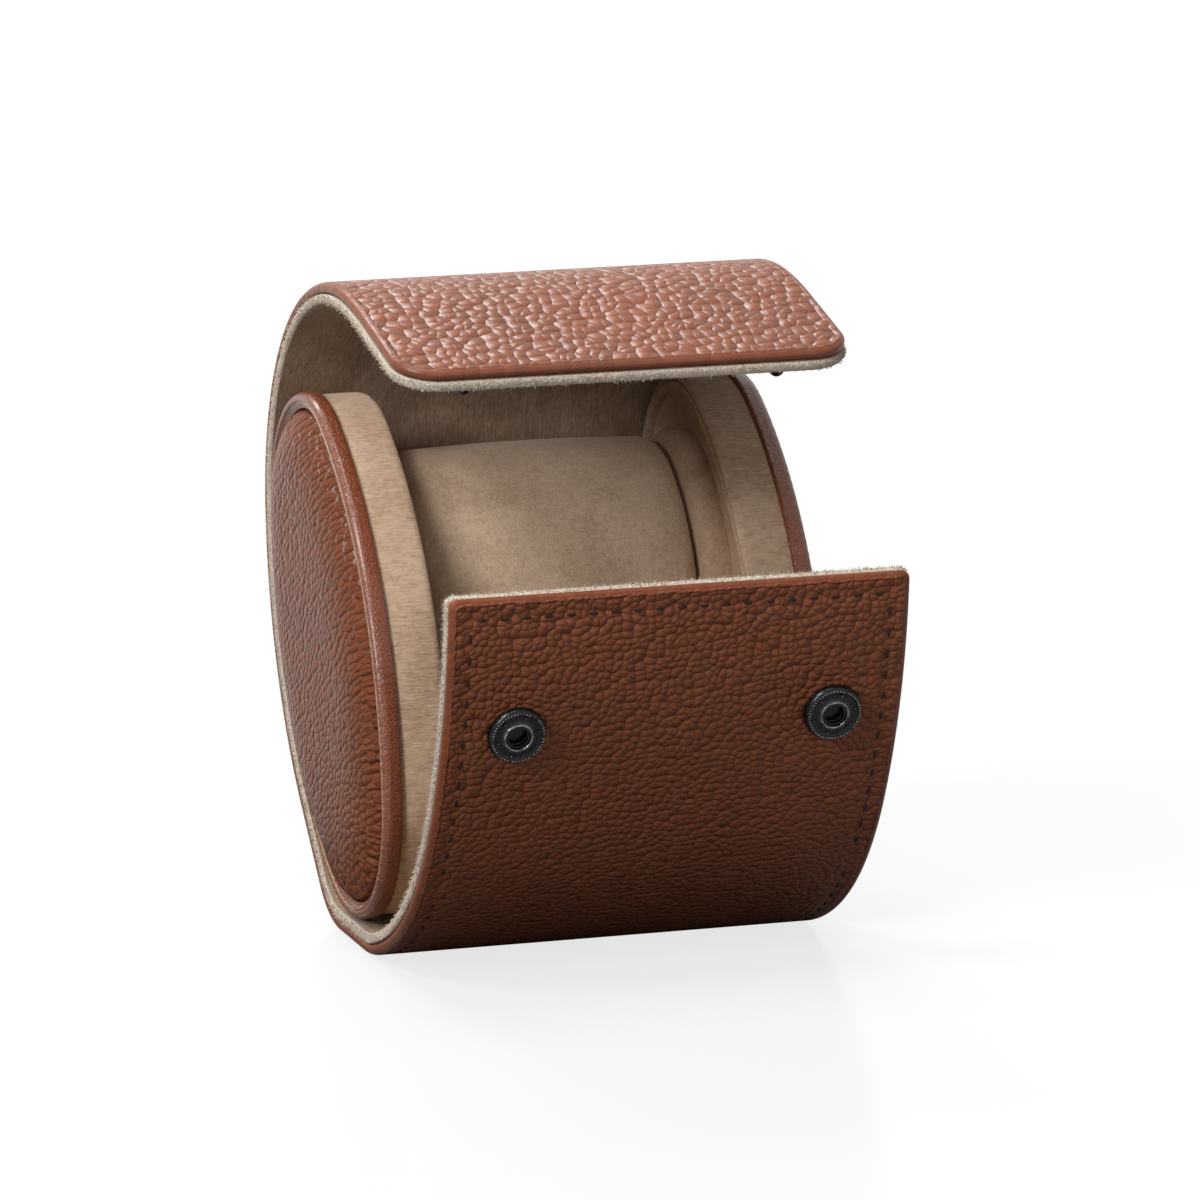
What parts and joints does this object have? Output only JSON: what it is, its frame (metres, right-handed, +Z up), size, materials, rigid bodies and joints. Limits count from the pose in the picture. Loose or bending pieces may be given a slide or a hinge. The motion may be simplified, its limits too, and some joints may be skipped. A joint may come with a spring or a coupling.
{
  "type": "watch roll",
  "caption": "Open leather watch roll: curled leather wrap lined in suede, oval padded end caps, soft oval cushion and snap fasteners.",
  "frame": {"origin": "on the flat stretch of leather that the roll stands on, in the middle of its width", "axes": "+X along the cushion, -Y to the open front, +Z up"},
  "size_m": [0.092, 0.121, 0.121],
  "materials": {
    "grain_leather": "satin",
    "rim_leather": "satin",
    "suede": "matte",
    "foam": "matte",
    "fibre_board": "matte",
    "thread": "matte",
    "snap_metal": "satin"
  },
  "bodies": {
    "back": {"back_board": "fibre_board", "back_leather": "grain_leather", "back_lining": "suede", "left_cap_boss_cover": "suede", "left_cap_boss_foam": "foam", "left_cap_end_board": "fibre_board", "left_cap_face_board": "fibre_board", "left_cap_face_lining": "suede", "left_cap_gusset_hoop": "fibre_board", "left_cap_gusset_suede": "suede", "left_cap_inner_lip": "suede", "left_cap_panel_leather": "grain_leather", "left_cap_panel_padding": "foam", "left_cap_rim_cord": "rim_leather", "left_cap_rim_leather": "rim_leather", "right_cap_boss_cover": "suede", "right_cap_boss_foam": "foam", "right_cap_end_board": "fibre_board", "right_cap_face_board": "fibre_board", "right_cap_face_lining": "suede", "right_cap_gusset_hoop": "fibre_board", "right_cap_gusset_suede": "suede", "right_cap_inner_lip": "suede", "right_cap_panel_leather": "grain_leather", "right_cap_panel_padding": "foam", "right_cap_rim_cord": "rim_leather", "right_cap_rim_leather": "rim_leather"},
    "crown": {"crown_board": "fibre_board", "crown_leather": "grain_leather", "crown_lining": "suede"},
    "cushion": {"cushion_cover": "suede", "cushion_end_discs": "suede", "cushion_foam": "foam"},
    "flap": {"flap_board": "fibre_board", "flap_leather": "grain_leather", "flap_lining": "suede", "flap_snap_rivets": "snap_metal", "flap_snap_studs": "snap_metal"},
    "front_lower": {"front_lower_board": "fibre_board", "front_lower_leather": "grain_leather", "front_lower_lining": "suede", "front_lower_stitching": "thread"},
    "front_panel": {"front_panel_board": "fibre_board", "front_panel_leather": "grain_leather", "front_panel_lining": "suede", "front_panel_stitching": "thread", "panel_snap_rivets": "snap_metal", "panel_snap_sockets": "snap_metal", "panel_snap_springs": "snap_metal"}
  },
  "joints": [
    {"name": "front_fold", "type": "hinge", "parent": "back", "child": "front_lower", "pos_m": [0, -0.01563, 0.00157], "axis": [1, 0, 0], "range_deg": [-22, 10]},
    {"name": "front_panel_fold", "type": "hinge", "parent": "front_lower", "child": "front_panel", "pos_m": [0, -0.04431, 0.02005], "axis": [1, 0, 0], "range_deg": [-26, 11.82]},
    {"name": "crown_fold", "type": "hinge", "parent": "back", "child": "crown", "pos_m": [0, 0.05387, 0.08328], "axis": [1, 0, 0], "range_deg": [-30, 15]},
    {"name": "flap_fold", "type": "hinge", "parent": "crown", "child": "flap", "pos_m": [0, 0.04193, 0.10574], "axis": [1, 0, 0], "range_deg": [-37.15, 18.58]},
    {"name": "cushion_pull", "type": "slide", "parent": "back", "child": "cushion", "axis": [0, -0.8517, 0.524], "range_m": [0, 0.012]}
  ],
  "couplings": [
    {"joint": "front_panel_fold", "follows": "front_fold", "ratio": 1.1818},
    {"joint": "flap_fold", "follows": "crown_fold", "ratio": 1.2385}
  ]
}
